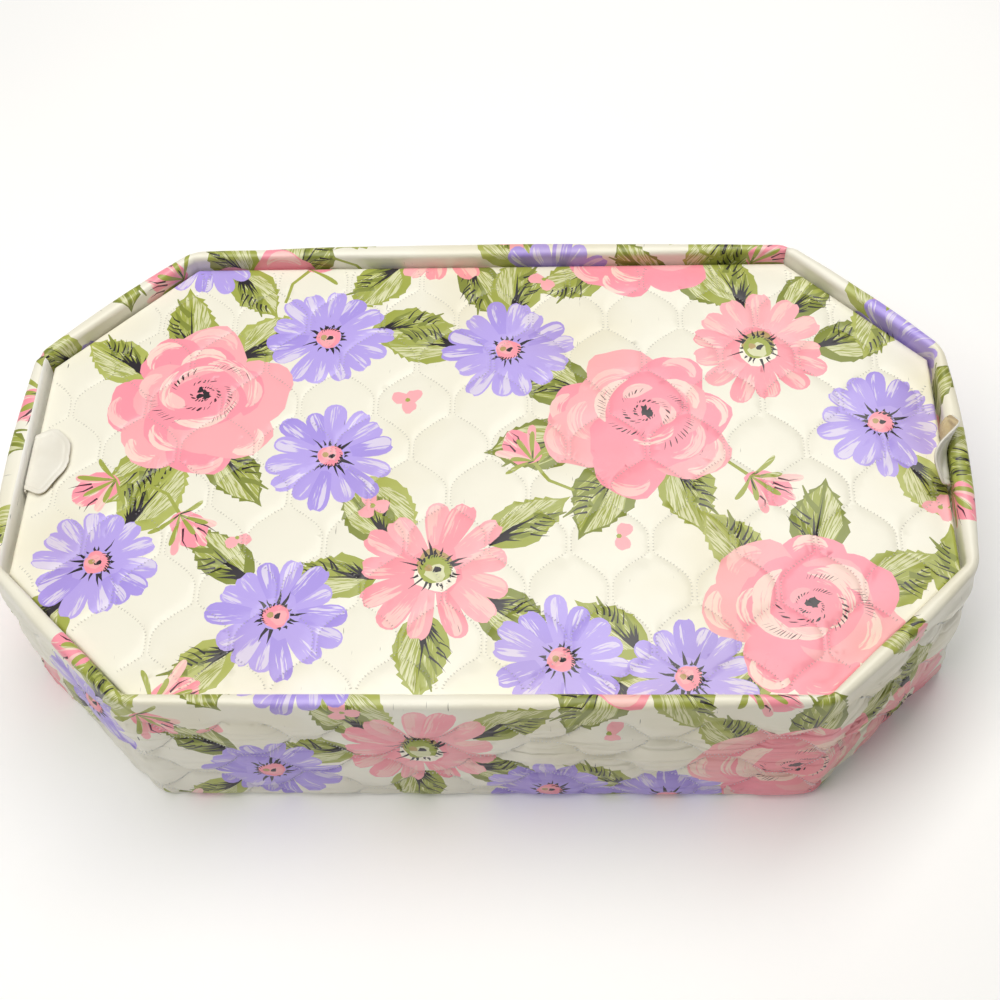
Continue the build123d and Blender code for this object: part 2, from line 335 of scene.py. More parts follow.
def petalOutline(root, reach, half, bend, notch=0.0):
    places = (0.0, 0.15, 0.35, 0.55, 0.72, 0.85, 0.93, 0.98)
    span = reach - root
    sides = [(root + span * q, half * (q + 0.06) ** 0.72 * (1 - q ** 6) ** 0.5, bend * q * q) for q in places]
    tip = [(root + span * (0.955 if notch else 1.0), bend + notch * half)]
    return [(x, b - w) for x, w, b in sides] + tip + [(x, b + w) for x, w, b in reversed(sides)]


def wedge(start, end, root, tip=0.0, bow=0.0):  # a tapered pen stroke
    (x0, y0), (x1, y1) = start, end
    length = math.hypot(x1 - x0, y1 - y0) or 1.0
    nx, ny = -(y1 - y0) / length, (x1 - x0) / length
    mx, my = (x0 + x1) / 2 + nx * bow, (y0 + y1) / 2 + ny * bow
    middle = 0.62 * root + 0.38 * tip
    out = [(x0 + nx * root, y0 + ny * root), (x0 - nx * root, y0 - ny * root)]
    out.append((mx - nx * middle, my - ny * middle))
    out.append((x1 - nx * tip, y1 - ny * tip))
    if tip:
        out.append((x1 + nx * tip, y1 + ny * tip))
    return out + [(mx + nx * middle, my + ny * middle)]


def arcStroke(radius, start, sweep, thick, squeeze=1.0, count=9):  # a pen stroke, swelling in the middle
    outer, inner = [], []
    for k in range(count + 1):
        q = k / count
        a = start + sweep * q
        half = max(0.08, thick * (0.12 + abs(math.sin(math.pi * q)) ** 0.8) / 2)
        for row, r in ((outer, radius * (1 - 0.18 * q) + half), (inner, radius * (1 - 0.18 * q) - half)):
            row.append((r * math.cos(a), squeeze * r * math.sin(a)))
    return outer + inner[::-1]


def dashedArc(at, radius, start, sweep, thick, squeeze, rng, colour="ink"):  # a dry pen that skips
    q = 0.0
    while q < 1:
        dash = max(1.0 / (radius * sweep), rng.uniform(0.05, 0.24) * min(1.0, 12 / radius))
        swell = 0.35 + math.sin(math.pi * min(1, q + dash / 2))
        yield patch(arcStroke(radius * (1 - 0.14 * q), start + sweep * q, sweep * dash,
                              thick * swell * rng.uniform(0.6, 1.1), squeeze, 3), at, 0.0, colour)
        q += dash + rng.uniform(0.015, 0.07)


daisyLooks = {
    "lavender": {"petals": 14, "base": ("lavender", "lavender", "lavenderDeep"), "light": "lavenderPale",
                 "eye": "rose", "eyeGlow": "roseSoft", "eyeSize": 0.19, "ticks": 17, "halo": ()},
    "pink": {"petals": 13, "base": ("daisyPink", "roseSoft"), "light": "daisyPale",
             "eye": "olive", "eyeGlow": "leafPale", "eyeSize": 0.2, "ticks": 19,
             "halo": ((1.3, 0.3, "cream"), (1.1, -0.35, "leafBrown"))},
}


def drawDaisy(look, at, size, turn, rng):
    order = list(range(look["petals"]))
    rng.shuffle(order)
    for k in order:
        angle = turn + math.tau * (k + rng.uniform(-0.14, 0.14)) / look["petals"]
        reach = size * rng.uniform(0.84, 1.03)
        half = size * rng.uniform(0.19, 0.235)
        bend = size * rng.uniform(-0.05, 0.05)
        base = rng.choice(look["base"])
        notch = rng.choice((0.0, 0.0, 0.14, -0.2))
        yield patch(petalOutline(0.08 * size, reach, half, bend, notch), at, angle, base)
        side = rng.uniform(-0.12, 0.12) * size
        middle = petalOutline(0.22 * size, 0.965 * reach, 0.85 * half, bend)
        yield patch([(x, 0.8 * y + side * 0.35) for x, y in middle], at, angle, base, look["light"], "petal",
                    size, rng.uniform(0.6, 1.15), 0.0, rng.randrange(90))
    yield patch(lumpyOutline(0.34 * size, rng, 0.12, 22), at, turn, look["base"][0])
    eye = look["eyeSize"] * size
    side = turn + rng.uniform(0, math.tau)
    for wide, aside, colour in look["halo"]:
        yield patch(lumpyOutline(wide * eye, rng, 0.07, 18), beside(at, aside * eye, side), turn, colour)
    yield patch(lumpyOutline(eye, rng, 0.06, 18), at, turn, look["eye"])
    yield patch(lumpyOutline(0.62 * eye, rng, 0.1, 12), beside(at, 0.25 * eye, side), turn, look["eyeGlow"])
    for k in range(3):  # the ink gathers round the lower side of the eye
        yield from dashedArc(at, eye * rng.uniform(1.04, 1.18), side + rng.uniform(1.2, 3.6),
                             rng.uniform(0.8, 1.7), rng.uniform(0.8, 1.5), 1.0, rng)
    for k in range(look["ticks"]):
        a = turn + math.tau * (k + rng.uniform(-0.35, 0.35)) / look["ticks"]
        near = eye * rng.uniform(0.96, 1.12)
        far = near + size * rng.choice((0.06, 0.08, 0.11, 0.15, 0.24))
        yield patch(wedge(beside((0, 0), near, a), beside((0, 0), far, a), rng.uniform(0.45, 0.95), 0.0,
                          rng.uniform(-0.5, 0.5)), at, 0.0, "ink")
    yield patch(lumpyOutline(0.26 * eye, rng, 0.1, 8), (at[0] - 0.4 * eye, at[1] + 0.1 * eye), turn,
                "leafBrown")
    yield patch(lumpyOutline(0.2 * eye, rng, 0.2, 7, 1.5), (at[0] + 0.12 * eye, at[1]), turn, "ink")


def drawRose(at, size, turn, rng):
    rings = ((7, 0.66, 0.42, ("rose", "rose", "roseSoft")), (5, 0.36, 0.44, ("rose", "roseSoft")))
    for ring, reach, blob, tones in rings:
        for k in range(ring):
            a = turn + math.tau * (k + rng.uniform(-0.25, 0.25)) / ring
            centre = beside(at, reach * size, a)
            radius = blob * size * rng.uniform(0.86, 1.14)
            tone = rng.choice(tones)
            yield patch(lumpyOutline(radius, rng, 0.06, 24), centre, a, tone)
            if rng.random() < 0.75:  # a pale glaze on the turned lip of the petal
                lip = arcStroke(0.72 * radius, rng.uniform(-1.2, -0.5), rng.uniform(1.4, 2.4),
                                0.56 * radius)
                yield patch(lip, centre, a, tone, rng.choice(("rosePale", "blush")), "ring", radius,
                            rng.uniform(0.85, 1.2), 0.0, rng.randrange(90))
    heart = (at[0] + 0.06 * size, at[1] + 0.12 * size)
    yield patch(lumpyOutline(0.52 * size, rng, 0.04, 26, 1.1), heart, turn, "rose")
    for k in range(7):
        a = turn + 0.9 * k + rng.uniform(-0.3, 0.3)
        stroke = arcStroke(size * rng.uniform(0.22, 0.62), a, rng.uniform(0.9, 1.7),
                           size * rng.uniform(0.1, 0.2), 0.86)
        yield patch(stroke, heart, 0.0, rng.choice(("rosePale", "roseSoft", "rose")), "blush", "ring",
                    0.5 * size, rng.uniform(0.5, 0.95), 0.0, rng.randrange(90))
    for k in range(10):  # pen lines that curl in to the middle
        q = (k + rng.uniform(0, 0.6)) / 10
        yield from dashedArc(heart, size * (0.13 + 0.62 * q ** 1.4), turn + 2.4 * k + rng.uniform(-0.4, 0.4),
                             rng.uniform(0.9, 2.0) * (1 - 0.45 * q), rng.uniform(0.8, 1.5), 0.84, rng,
                             "plum" if k % 3 else "ink")
    for k in range(6):  # the scribbled core
        yield patch(lumpyOutline(0.034 * size, rng, 0.3, 8, 1.5), (heart[0] + rng.uniform(-0.07, 0.07) * size,
                    heart[1] + rng.uniform(-0.06, 0.06) * size), rng.uniform(0, 3), "ink")


def leafOutline(length, half, sway, rng):
    def side(sign):
        row = []
        for q in (0.06, 0.16, 0.28, 0.4, 0.52, 0.63, 0.73, 0.82, 0.9, 0.96):
            w = half * math.sin(math.pi * q ** 0.76) ** 0.85 * rng.uniform(0.93, 1.05)
            row.append((length * q, sign * w + sway * q * q))
            if 0.35 < q < 0.9:  # small teeth that point to the tip
                row.append((length * (q + 0.035), sign * (w + rng.uniform(0.2, 1.1)) + sway * q * q))
        return row
    return [(0.0, 0.0)] + side(-1) + [(length * 1.06, 1.1 * sway)] + side(1)[::-1]


def drawLeaf(at, size, turn, rng):
    half = size * rng.uniform(0.27, 0.34)
    sway = size * rng.uniform(-0.09, 0.09)
    outline = leafOutline(size, half, sway, rng)
    yield patch(outline, at, turn, rng.choice(("leaf", "leaf", "leafSoft", "leafDeep")))
    sign = rng.choice((-1, 1))
    for way, amount in ((sign, 0.62), (-sign, 0.4)):  # each half is stroked from the rib to the margin
        lobe = [(0.12 * size, 0.04 * way)]
        for along, out, swayed in ((0.3, 0.62, 0), (0.5, 0.8, 0.25), (0.74, 0.62, 0.55), (0.96, 0.06, 0.92),
                                   (0.55, 0.1, 0.3)):
            lobe.append((along * size, way * out * half + swayed * sway))
        yield patch(lobe[::-way], at, turn, "leaf", "leafPale", "leaf", size, amount, 0.0, rng.randrange(90))
    for k in range(3):  # darker green laid over one half
        q = 0.2 + 0.2 * k
        far = ((q + 0.3) * size, -sign * half * rng.uniform(0.6, 0.85) + 0.4 * sway)
        yield patch(wedge((q * size, -sign * 0.08 * half), far, 1.6, 0.3, -sign * 1.2), at, turn, "leafDeep")
    yield patch(wedge((0, 0), (size * rng.uniform(0.5, 0.85), 0.6 * sway), rng.uniform(0.6, 1.0), 0.0,
                      rng.uniform(-1, 1)), at, turn, "ink")
    for k in range(rng.choice((7, 9, 11))):  # the brush was set down at the root and flicked outwards
        a = -sign * (0.1 + 0.075 * k) + rng.uniform(-0.06, 0.06)
        reach = size * rng.uniform(0.3, 0.62) * (1 - 0.045 * k)
        root = (size * rng.uniform(0.01, 0.06), 0.0)
        yield patch(wedge(root, beside(root, reach, a), rng.uniform(0.7, 1.25), 0.0,
                          sign * rng.uniform(0.4, 1.6)), at, turn, "ink")
    first = rng.uniform(0.3, 0.5)
    for k in range(rng.choice((4, 6, 7))):  # finer strokes that run out over the margin
        q = first + 0.06 * k
        edge = half * math.sin(math.pi * min(0.97, q + 0.12) ** 0.76) ** 0.85
        near, far = edge * rng.uniform(0.3, 0.6), edge * rng.uniform(0.95, 1.25)
        start = (q * size, -sign * near + 0.4 * sway)
        end = ((q + rng.uniform(0.1, 0.17)) * size, -sign * far + 0.5 * sway)
        yield patch(wedge(start, end, rng.uniform(0.3, 0.6), 0.0, -sign * rng.uniform(0.2, 0.9)), at, turn,
                    "ink")


def drawBud(at, size, turn, rng):
    yield patch(wedge((-1.5 * size, -0.35 * size), (0, 0), 0.7, 0.9, 0.2 * size), at, turn, "leaf")
    yield patch(lumpyOutline(0.5 * size, rng, 0.05, 20, 1.35), beside(at, 0.6 * size, turn), turn, "rose",
                "blush", "petal", size, 0.8, 0.0, 3)
    for k, (lean, tone) in enumerate(((-0.5, "roseSoft"), (0.1, "rose"), (0.55, "rosePale"))):
        yield patch(petalOutline(0.0, size * rng.uniform(1.1, 1.45), 0.17 * size, 0.12 * size * (k - 1)), at,
                    turn + lean, tone, "blush", "petal", size, 0.6, 0.0, rng.randrange(90))
    for k in range(4):
        a = turn + rng.uniform(-0.6, 0.6)
        near, far = size * rng.uniform(0.5, 0.8), size * rng.uniform(1.0, 1.35)
        yield patch(wedge((near, 0), (far, 0), 0.5, 0.0, rng.uniform(-1.5, 1.5)), at, a, "plum")
    for k in range(5):
        a = turn + (k - 2) * 0.62 + rng.uniform(-0.12, 0.12)
        yield patch(petalOutline(0.0, size * rng.uniform(0.65, 1.1), 0.1 * size, 0.1 * size * (k - 2)), at, a,
                    "leaf", "leafPale", "petal", size, 0.5, 0.5, rng.randrange(90))


def drawCrumbs(at, size, turn, rng):  # two or three little loose petals
    for k in range(rng.choice((2, 3))):
        a = turn + 2.1 * k
        yield patch(lumpyOutline(0.55 * size, rng, 0.09, 12, 1.15), beside(at, 0.62 * size, a), a, "roseSoft",
                    "rosePale", "ring", size, 0.3, 0.0, rng.randrange(90))
    yield patch(lumpyOutline(0.2 * size, rng, 0.1, 6), at, turn, "olive")


# One repeat of the sheet: each flower with its place, size and turn, and the ways its leaves point.
repeatSize = (430.0, 290.0)
flowerReach = 45.0
flowers = [
    ("rose", -134, 38, 38, 0.4, (1.0, 1.8, 2.6, 4.3, 5.1)),
    ("lavender", -78, 74, 30, 0.1, (0.2,)),
    ("lavender", -72, 8, 29, 0.6, (5.5,)),
    ("pink", -24, -50, 34, 0.2, (2.5, 3.3, 4.6, 0.5, 5.6)),
    ("lavender", -88, -72, 30, 0.9, (2.2, 3.9)),
    ("lavender", 28, -92, 29, 0.3, (5.9,)),
    ("rose", 62, 26, 38, 1.9, (2.6, 3.5, 4.4, 5.3)),
    ("lavender", 4, 66, 30, 0.5, (1.5, 3.0)),
    ("pink", 116, 66, 33, 0.5, (0.9, 1.8, 0.0)),
    ("lavender", 166, 24, 29, 0.2, (5.2,)),
    ("rose", 126, -72, 37, 3.2, (0.4, 1.4, 2.3, 4.0, 5.2)),
    ("lavender", 78, -100, 28, 0.7, (2.6,)),
    ("lavender", -166, -46, 29, 0.4, (1.0, 4.2)),
    ("pink", 196, -92, 32, 0.8, (1.7, 4.6)),
    ("rose", 186, 122, 35, 2.2, (2.7, 4.4, 5.5)),
    ("lavender", -140, 128, 29, 1.1, (3.4, 5.6)),
    ("pink", -30, 136, 32, 0.4, (0.4, 3.9, 5.4)),
    ("rose", 66, 132, 35, 0.9, (3.9, 5.4)),
    ("bud", -164, -4, 16, 3.7, ()), ("bud", -134, -22, 15, 5.3, ()), ("bud", 16, 4, 15, 2.2, ()),
    ("bud", 108, -4, 16, 5.6, ()), ("bud", -90, 116, 15, 0.9, ()), ("bud", -134, -112, 16, 0.4, ()),
    ("crumbs", -40, 38, 6, 0.7, ()), ("crumbs", -52, -18, 6, 2.0, ()), ("crumbs", 52, -34, 6, 5.1, ()),
    ("crumbs", 186, -20, 6, 1.0, ()), ("crumbs", -108, -34, 5, 4.0, ()), ("crumbs", 20, 108, 6, 3.0, ()),
]


def sprayOf(order, kind, x, y, size, turn, leaves):  # a flower's own leaves lie behind every flower
    rng = random.Random(40 + order)
    rows = []
    for way in leaves:
        length = rng.uniform(34, 42)
        start = size * rng.uniform(0.62, 0.74)
        rows.append((0, "leaf", *beside((x, y), start, way), length, way + rng.uniform(-0.25, 0.25),
                     rng.randrange(999)))
    level = 1 if kind in ("bud", "crumbs") else 2
    return rows + [(level, kind, x, y, size, turn, rng.randrange(999))]


sprays = sorted(row for order, flower in enumerate(flowers) for row in sprayOf(order, *flower))
drawers = {"leaf": drawLeaf, "rose": drawRose, "bud": drawBud, "crumbs": drawCrumbs}
for name, look in daisyLooks.items():
    drawers[name] = partial(drawDaisy, look)


def printOver(low, high, shift):  # every area of paint that touches a rectangle of a piece cut from the sheet
    parts = []
    for _, kind, x, y, size, turn, seed in sprays:
        for column in range(-3, 4):
            for line in range(-2, 3):
                at = (x + shift[0] + column * repeatSize[0], y + shift[1] + line * repeatSize[1])
                if all(a - flowerReach < b < c + flowerReach for a, b, c in zip(low, at, high)):
                    parts += drawers[kind](at, size, turn, random.Random(seed))
    return parts


# Quilting: welded lines that part and meet, leaving pointed drop-shaped cells

quilt = {"column": 17.0, "row": 24.0, "gap": 2.0, "parallel": 8.0, "step": 1.9, "shoulder": 0.75,
         "domeReach": 13.0, "edgeReach": 2.4, "grooveReach": 0.8}


def weldLine(column, y):  # how far over the line on this column's right stands at height y, and its lean
    down = -y / quilt["row"]
    row = math.floor(down)
    t = (down - row) * quilt["row"] - quilt["parallel"]
    near = quilt["column"] * column + quilt["gap"] / 2
    far = quilt["column"] * (column + 1) - quilt["gap"] / 2
    start, end = (near, far) if (column + row) % 2 == 0 else (far, near)
    if t <= 0:
        return start, 0.0
    q = t / (quilt["row"] - quilt["parallel"])
    lean = (end - start) * math.cos(math.pi * q / 2) * math.pi / 2 / (quilt["row"] - quilt["parallel"])
    return start + (end - start) * math.sin(math.pi * q / 2), lean


def weldDistance(x, y):  # from the nearest welded line
    middle = math.floor(x / quilt["column"])
    nearest = quilt["column"]
    for column in (middle - 1, middle, middle + 1):
        place, lean = weldLine(column, y)
        nearest = min(nearest, abs(x - place) / math.sqrt(1 + lean * lean))
    return nearest


def puffed(x, y, puff, groove):  # how far the sheet stands off the card
    d = weldDistance(x, y)
    dome = 1 - (1 - min(1.0, d / quilt["domeReach"])) ** 2
    edge = 1 - math.exp(-d / quilt["edgeReach"])
    return puff * (0.45 * dome + 0.55 * edge) - groove * math.exp(-(d / quilt["grooveReach"]) ** 2)


def addObject(name, data):
    made = bpy.data.objects.new(name, data)
    bpy.context.scene.collection.objects.link(made)
    return made


def bakedMesh(piece):  # what its modifier makes of it; the modifier goes
    bpy.context.view_layer.update()
    graph = bpy.context.evaluated_depsgraph_get()
    made = bpy.data.meshes.new_from_object(piece.evaluated_get(graph))
    piece.modifiers.clear()
    return made


def ruled(a, b, step=3.5):  # a straight row of points, so that it can follow the sheet's curves once laid
    count = max(1, math.ceil((b - a).length / step))
    return [a.lerp(b, k / count) for k in range(count + 1)]


def sheetMesh(name, region, parts, welds, spacing, place, swap=False):
    # cuts the flat sheet into triangles that follow the print and the welds, and lays it on the box
    points, edges, faces, weldIds = list(region), [], [list(range(len(region)))], []
    for outline, base, light, brush in parts:
        faces.append(list(range(len(points), len(points) + len(outline))))
        points += outline
    for row in welds:
        first = len(points)
        points += row
        edges += [(first + k, first + k + 1) for k in range(len(row) - 1)]
        weldIds.append(list(range(first, first + len(row))))
    low = Vector((min(p.x for p in region), min(p.y for p in region)))
    high = Vector((max(p.x for p in region), max(p.y for p in region)))
    rowHeight = spacing * 0.866
    for j in range(int((high.y - low.y) / rowHeight) + 1):
        for i in range(int((high.x - low.x) / spacing) + 1):
            x, y = low.x + (i + 0.5 * (j % 2)) * spacing, low.y + j * rowHeight
            if weldDistance(*((y, x) if swap else (x, y))) > 1.1:
                points.append(Vector((x, y)))
    verts, _, tris, origVerts, _, origFaces = delaunay_2d_cdt(points, edges, faces, 0, 0.0001, True)
    spans = [[f(p[axis] for p in part[0]) for axis in (0, 1) for f in (min, max)] for part in parts]
    kept = []
    for tri, ids in zip(tris, origFaces):
        if 0 not in ids:
            continue
        middle = (verts[tri[0]] + verts[tri[1]] + verts[tri[2]]) / 3
        top = -1
        for k in sorted(ids, reverse=True)[:-1]:  # a stroke thinner than the cutter's grid may claim too much
            x0, x1, y0, y1 = spans[k - 1]
            if x0 <= middle.x <= x1 and y0 <= middle.y <= y1:
                top = k - 1
                break
        kept.append((tri, top))
    used = {}
    for tri, _ in kept:
        for v in tri:
            used.setdefault(v, len(used))
    flat = [verts[v].to_tuple() for v in used]
    laid, facing = zip(*(place(x, y) for x, y in flat))
    mesh = bpy.data.meshes.new(name)
    triangles = [[used[v] for v in tri] for tri, _ in kept]
    mesh.from_pydata([p * mm for p in laid], [], triangles)
    piece = addObject(name, mesh)
    ground = printColours["ground"]
    colours = {"printBase": [], "printLight": [], "printTone": []}
    uvs = []
    paint = [None] * len(used)
    for tri, (_, top) in zip(triangles, kept):
        base, light, brush = (ground, ground, None) if top < 0 else parts[top][1:]
        for v in tri:
            x, y = flat[v]
            across, along, pale, ink = brushTones(brush, x, y) if brush else (x, y, 0.0, 0.0)
            colours["printBase"] += base
            colours["printLight"] += light
            colours["printTone"] += (pale, ink, 0.0, 1.0)
            uvs += (across, along)
            paint[v] = base
    for key, values in colours.items():
        mesh.color_attributes.new(key, "FLOAT_COLOR", "CORNER").data.foreach_set("color", values)
    mesh.uv_layers.new(name="brush").data.foreach_set("uv", uvs)
    mesh.shade_smooth()
    home = {source: v for v, sources in enumerate(origVerts) for source in sources}
    lines = []
    for row in weldIds:
        spots = [used.get(home.get(k)) for k in row]
        lines.append([None if k is None else (laid[k], facing[k], paint[k]) for k in spots])
    print(name, "triangles", len(mesh.polygons))
    return piece, lines


def weldRows(low, high, inside, swap=False):
    # each welded line as its middle and a shoulder on each side; only the middles carry press marks
    middles, shoulders = [], []
    span, run = ((low[1], high[1]), (low[0], high[0])) if swap else ((low[0], high[0]), (low[1], high[1]))
    for column in range(math.floor(span[0] / quilt["column"]) - 1, math.ceil(span[1] / quilt["column"]) + 1):
        rows = {0: [[]], -1: [[]], 1: [[]]}
        for k in range(int((run[1] - run[0]) / quilt["step"]) + 1):
            y = run[0] + k * quilt["step"]
            place, lean = weldLine(column, y)
            tilt = 1 / math.sqrt(1 + lean * lean)
            for side, row in rows.items():
                x2, y2 = place + side * quilt["shoulder"] * tilt, y - side * quilt["shoulder"] * lean * tilt
                point = Vector((y2, x2)) if swap else Vector((x2, y2))
                if inside(point):
                    row[-1].append(point)
                elif row[-1]:
                    row.append([])
        middles += [row for row in rows[0] if len(row) > 1]
        shoulders += [row for side in (-1, 1) for row in rows[side] if len(row) > 1]
    return middles, shoulders


# Press marks along the welds

def buildMarkTree():
    tree = bpy.data.node_groups.new("weldMarks", "GeometryNodeTree")
    face = tree.interface
    face.new_socket(name="Geometry", in_out="INPUT", socket_type="NodeSocketGeometry")
    for name in ("Spacing", "Along", "Across", "Height", "Variation"):
        face.new_socket(name=name, in_out="INPUT", socket_type="NodeSocketFloat")
    face.new_socket(name="Seed", in_out="INPUT", socket_type="NodeSocketInt")
    face.new_socket(name="Material", in_out="INPUT", socket_type="NodeSocketMaterial")
    face.new_socket(name="Geometry", in_out="OUTPUT", socket_type="NodeSocketGeometry")
    given = addNode(tree, "NodeGroupInput")
    curve = addNode(tree, "GeometryNodeMeshToCurve", {"Mesh": given["Geometry"]})[0]
    spaced = addNode(tree, "GeometryNodeResampleCurve", {"mode": "LENGTH", "Curve": curve,
                     "Length": given["Spacing"]})[0]
    normal = addNode(tree, "GeometryNodeInputNamedAttribute", {"data_type": "FLOAT_VECTOR",
                     "Name": "weldNormal"})[0]
    tangent = addNode(tree, "GeometryNodeInputTangent")[0]
    upright = addNode(tree, "FunctionNodeAlignRotationToVector", {"axis": "Z", "Vector": normal})[0]
    aligned = addNode(tree, "FunctionNodeAlignRotationToVector", {"axis": "X", "pivot_axis": "Z",
                      "Rotation": upright, "Vector": tangent})[0]
    shape = addNode(tree, "GeometryNodeMeshIcoSphere", {"Radius": 1.0, "Subdivisions": 1})[0]
    size = addNode(tree, "ShaderNodeCombineXYZ", {"X": given["Along"], "Y": given["Across"],
                   "Z": given["Height"]})[0]
    least = addMath(tree, "SUBTRACT", 1.0, given["Variation"])
    change = addNode(tree, "FunctionNodeRandomValue", {"data_type": "FLOAT", "Min": least, "Max": 1.0,
                     "Seed": given["Seed"]})[1]
    scaled = addNode(tree, "ShaderNodeVectorMath", {"operation": "SCALE", 0: size, "Scale": change})[0]
    marks = addNode(tree, "GeometryNodeInstanceOnPoints", {"Points": spaced, "Instance": shape,
                    "Rotation": aligned, "Scale": scaled})[0]
    real = addNode(tree, "GeometryNodeRealizeInstances", {0: marks})[0]
    dressed = addNode(tree, "GeometryNodeSetMaterial", {0: real, "Material": given["Material"]})[0]
    addNode(tree, "NodeGroupOutput", {0: dressed})
    return tree


markTree = buildMarkTree()


def pressMarks(name, lines, look):  # lines of (place, normal, colour) become rows of small pressed bars
    points, edges, normals, colours = [], [], [], []
    for row in lines:
        joined = False
        for spot in row:
            if spot:
                if joined:
                    edges.append((len(points) - 1, len(points)))
                points.append(spot[0] * mm)
                normals += tuple(spot[1])
                # highlightWhite pushes the mark colour towards white: a painted highlight, used on the wall
                # marks
                colours += [c + (1 - c) * look["highlightWhite"] for c in spot[2][:3]] + [look["greyed"]]
            joined = bool(spot)
    mesh = bpy.data.meshes.new(name + "_lines")
    mesh.from_pydata(points, edges, [])
    mesh.attributes.new("weldNormal", "FLOAT_VECTOR", "POINT").data.foreach_set("vector", normals)
    mesh.attributes.new("weldColour", "FLOAT_COLOR", "POINT").data.foreach_set("color", colours)
    guide = addObject(name + "_lines", mesh)
    modifier = guide.modifiers.new("marks", "NODES")
    modifier.node_group = markTree
    named = {item.name: item.identifier for item in markTree.interface.items_tree if item.in_out == "INPUT"}
    for key, value in {**look["sizes"], "Material": pressedMark}.items():
        modifier[named[key]] = value
    made = bakedMesh(guide)
    made.name = name
    bpy.data.objects.remove(guide)
    made.shade_smooth()
    print(name, "faces", len(made.polygons))
    return addObject(name, made)


def addThickness(piece, thick, backing):
    solid = piece.modifiers.new("thickness", "SOLIDIFY")
    solid.thickness = thick * mm
    solid.offset = -1
    piece.data.materials.append(backing)
    solid.material_offset = 1
    solid.material_offset_rim = 0
    piece.data = bakedMesh(piece)


# Lid cover

lidCover = {
    "edgeRadius": 1.6,
    "turnUnder": 12.0,
    "crown": 0.5,  # the wadding thins towards the edge
    "crownWidth": 16.0,
    "puff": 0.38,
    "groove": 0.3,
    "spacing": 3.1,
    "printShift": (6.0, -4.0),
    "quiltShift": (3.0, 10.0),
    "skin": 0.8,
    "rings": (0.0, 0.6, 1.25, 1.9, 2.5, 3.6, 4.9, 5.9, 6.8, 7.6),  # rows that keep the rolled edge smooth
    "waves": ((0.35, 55, 42, 3.1), (0.12, 14, 14, 9.0)),  # height, length, width and seed
    "quiltSpan": ((-200, -128), (200, 112)),
    "printSpan": ((-215, -130), (215, 130)),
    "marks": {"highlightWhite": 0.0, "greyed": 1.0, "sizes": {"Spacing": 0.0016, "Along": 0.00036,
              "Across": 0.00085, "Height": 0.00024, "Variation": 0.35, "Seed": 11}},
}
lidDrop = boxSizes["lidTop"] - boxSizes["lidUnder"] - 2 * lidCover["edgeRadius"]
lidTurn = lidCover["edgeRadius"] * math.pi / 2  # round one edge


def lidPlan(out):  # the lid's flat top, grown outwards
    insets = (boxSizes[key] + lidCover["edgeRadius"] - out for key in ("lidEnds", "lidSides", "lidCorners"))
    return octagonPoints(*insets)


def lidEdges():  # the eight edges of the flat top as (corner, corner, direction, outward normal)
    plan = lidPlan(0)
    for k in range(8):
        along = (plan[(k + 1) % 8] - plan[k]).normalized()
        yield plan[k], plan[(k + 1) % 8], along, Vector((along.y, -along.x))


lidSides = list(lidEdges())


def lidProfile(run):  # out from the flat top: round the edge, down, and back under the card
    radius = lidCover["edgeRadius"]
    if run < lidTurn:
        c, s = math.cos(run / radius), math.sin(run / radius)
        return radius * s, radius * (c - 1), Vector((s, c))
    if run < lidTurn + lidDrop:
        return radius, -radius - (run - lidTurn), Vector((1, 0))
    if run < 2 * lidTurn + lidDrop:
        a = (run - lidTurn - lidDrop) / radius
        c, s = math.cos(a), math.sin(a)
        return radius * c, -radius - lidDrop - radius * s, Vector((c, -s))
    return -(run - 2 * lidTurn - lidDrop), -2 * radius - lidDrop, Vector((0, -1))


def miterOf(side, other):  # the tangent of half the turn between two edges of the lid
    return math.tan(math.acos(min(1, max(-1, lidSides[side][2].dot(lidSides[other % 8][2])))) / 2)


def placeOnLid(x, y):
    spot, look = Vector((x, y)), lidCover
    past, side = max(((spot - s[0]).dot(s[3]), k) for k, s in enumerate(lidSides))
    top = boxSizes["lidTop"] - look["puff"] - look["crown"]
    if past <= 0:
        lift = puffed(x - look["quiltShift"][0], y - look["quiltShift"][1], look["puff"], look["groove"])
        for high, long, wide, seed in look["waves"]:
            lift += high * noise.noise(Vector((x / long, y / wide, seed)))
        height = top + look["crown"] * ease(-past / look["crownWidth"]) + ease((-past - 1.0) / 7.0) * lift
        return Vector((x + boxSizes["lidShift"], y, height)), Vector((0, 0, 1))
    a, b, along, out = lidSides[side]
    reach, fall, facing = lidProfile(past)
    length, before, after = (b - a).length, miterOf(side, side - 1), miterOf(side, side + 1)
    share = ((spot - a).dot(along) + past * before) / (length + past * (before + after))
    spot = a + along * (share * (length + reach * (before + after)) - reach * before) + out * reach
    normal = Vector((out.x * facing.x, out.y * facing.x, facing.y))
    return Vector((spot.x + boxSizes["lidShift"], spot.y, top + fall)), normal


def makeLidCover():
    shift = Vector(lidCover["quiltShift"])

    def onTop(point):
        return max((point + shift - s[0]).dot(s[3]) for s in lidSides) < -1.2
    middles, shoulders = weldRows(*lidCover["quiltSpan"], onTop)
    welds = [[p + shift for p in row] for row in middles + shoulders]
    rings = [lidPlan(out) for out in lidCover["rings"]]
    ridges = [ruled(ring[k - 1], ring[k]) for ring in rings for k in range(8)]
    parts = printOver(*lidCover["printSpan"], lidCover["printShift"])
    region = lidPlan(2 * lidTurn + lidDrop + lidCover["turnUnder"])
    piece, lines = sheetMesh("lid_top_cover", region, parts, welds + ridges, lidCover["spacing"], placeOnLid)
    piece.data.materials.append(printedVinyl)
    addThickness(piece, lidCover["skin"], knitBacking)
    return piece, pressMarks("lid_weld_marks", lines[:len(middles)], lidCover["marks"])


lidTop, lidMarks = makeLidCover()

